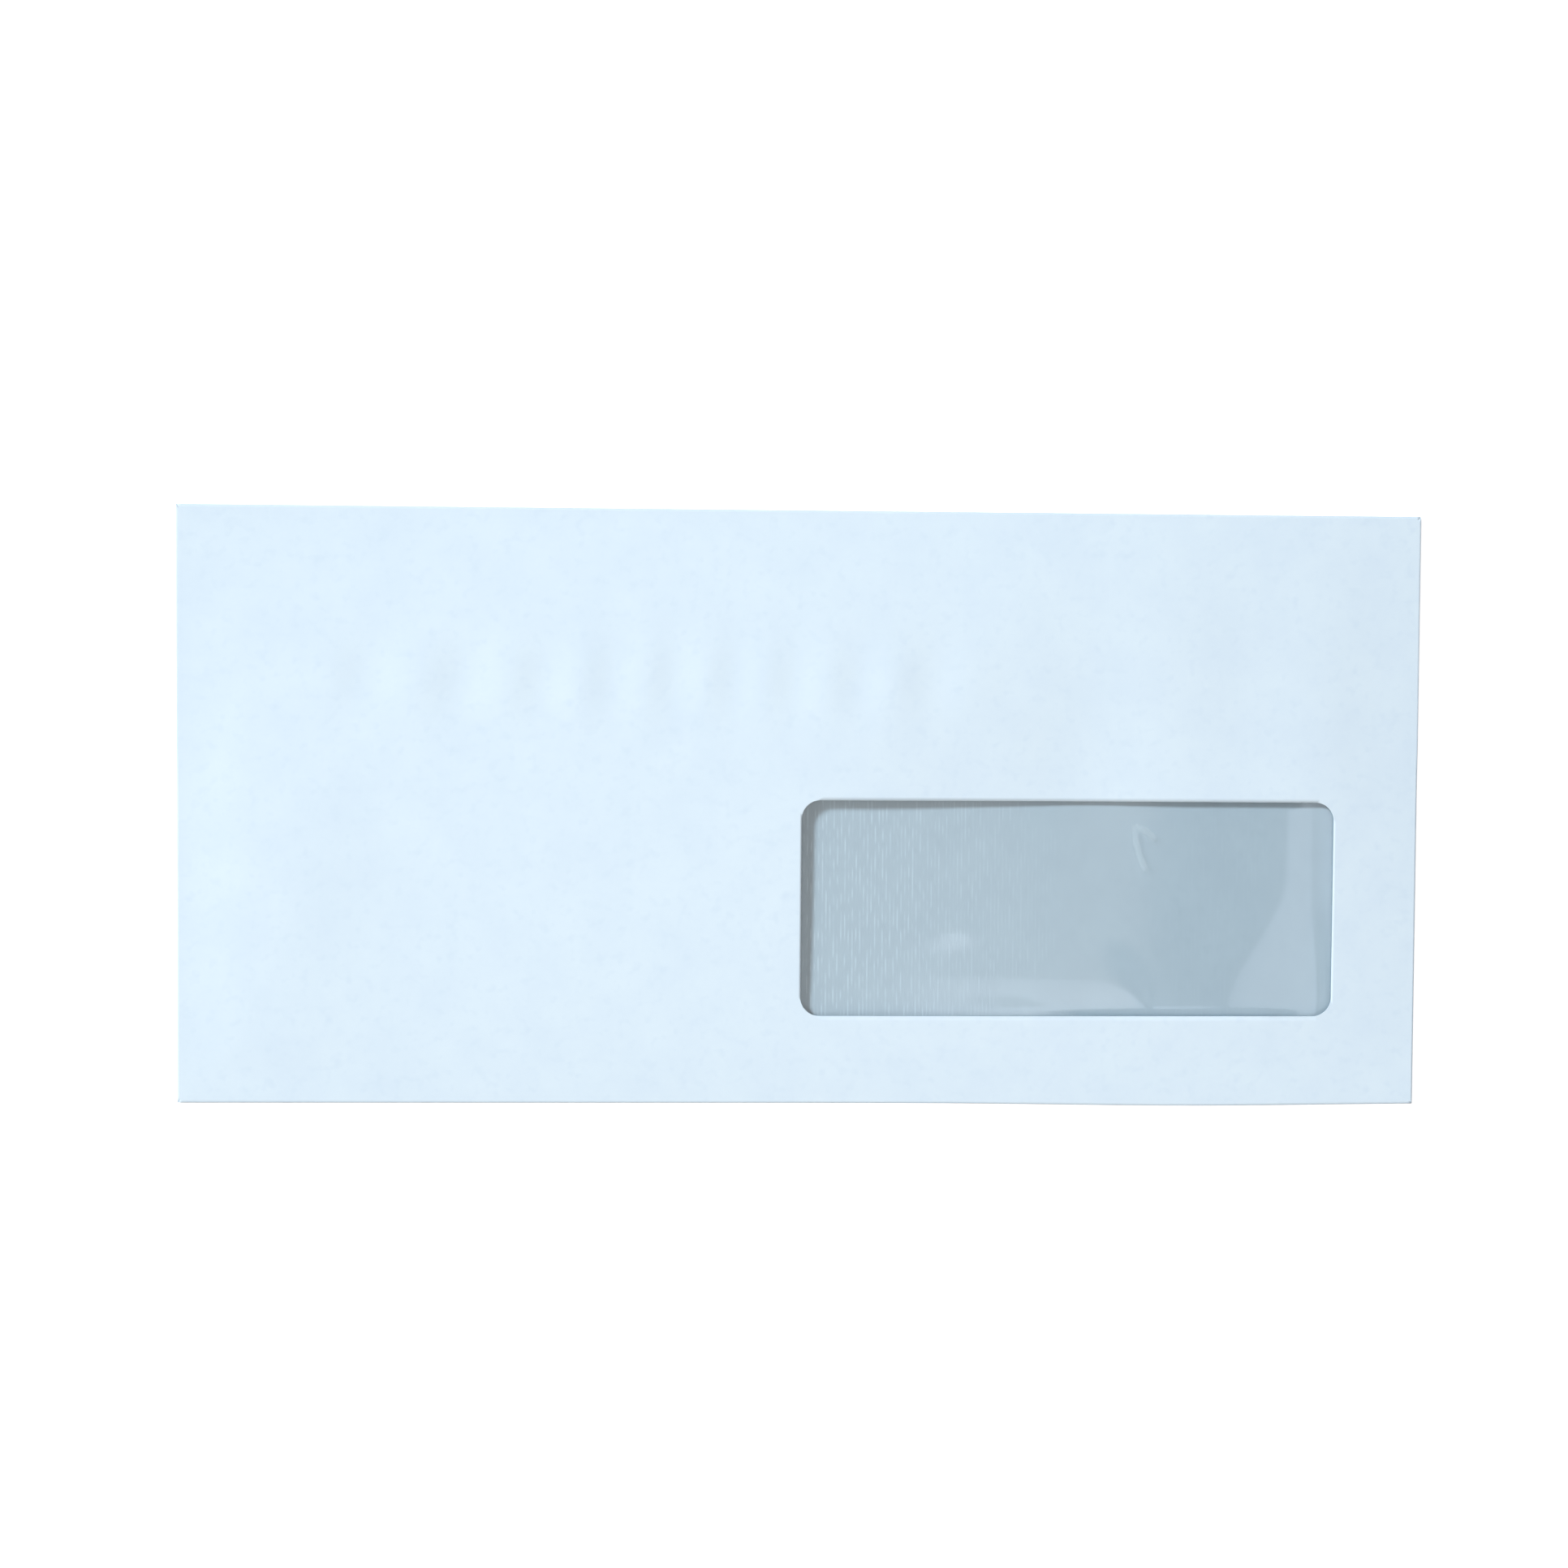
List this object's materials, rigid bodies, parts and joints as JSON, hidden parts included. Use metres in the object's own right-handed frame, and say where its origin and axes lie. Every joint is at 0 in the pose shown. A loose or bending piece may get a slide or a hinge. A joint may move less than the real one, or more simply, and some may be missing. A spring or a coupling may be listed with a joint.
{
  "type": "window envelope",
  "caption": "Flat oblong paper mailing envelope, folded from a single sheet, with a clear film window in the front panel and a gummed seal flap turned under along a long edge.",
  "frame": {"origin": "centre of the plan outline, on the surface that the envelope lies on", "axes": "+X to the right along the long side, as seen from the address side; +Y towards the seal flap's fold; +Z out of the address side, up"},
  "size_m": [0.23, 0.11, 0.0027],
  "materials": {
    "paper": "matt bright white uncoated paper with a faint blue cast",
    "film": "clear glossy window film, slightly wrinkled",
    "glue": "thin dried adhesive",
    "gum": "dried remoistenable gum, slightly glossy"
  },
  "bodies": {
    "root": {"envelope_blank": "paper", "window_film": "film", "window_glue": "glue", "side_seam_glue_left": "glue", "side_seam_glue_right": "glue", "flap_gum": "gum"}
  },
  "joints": []
}
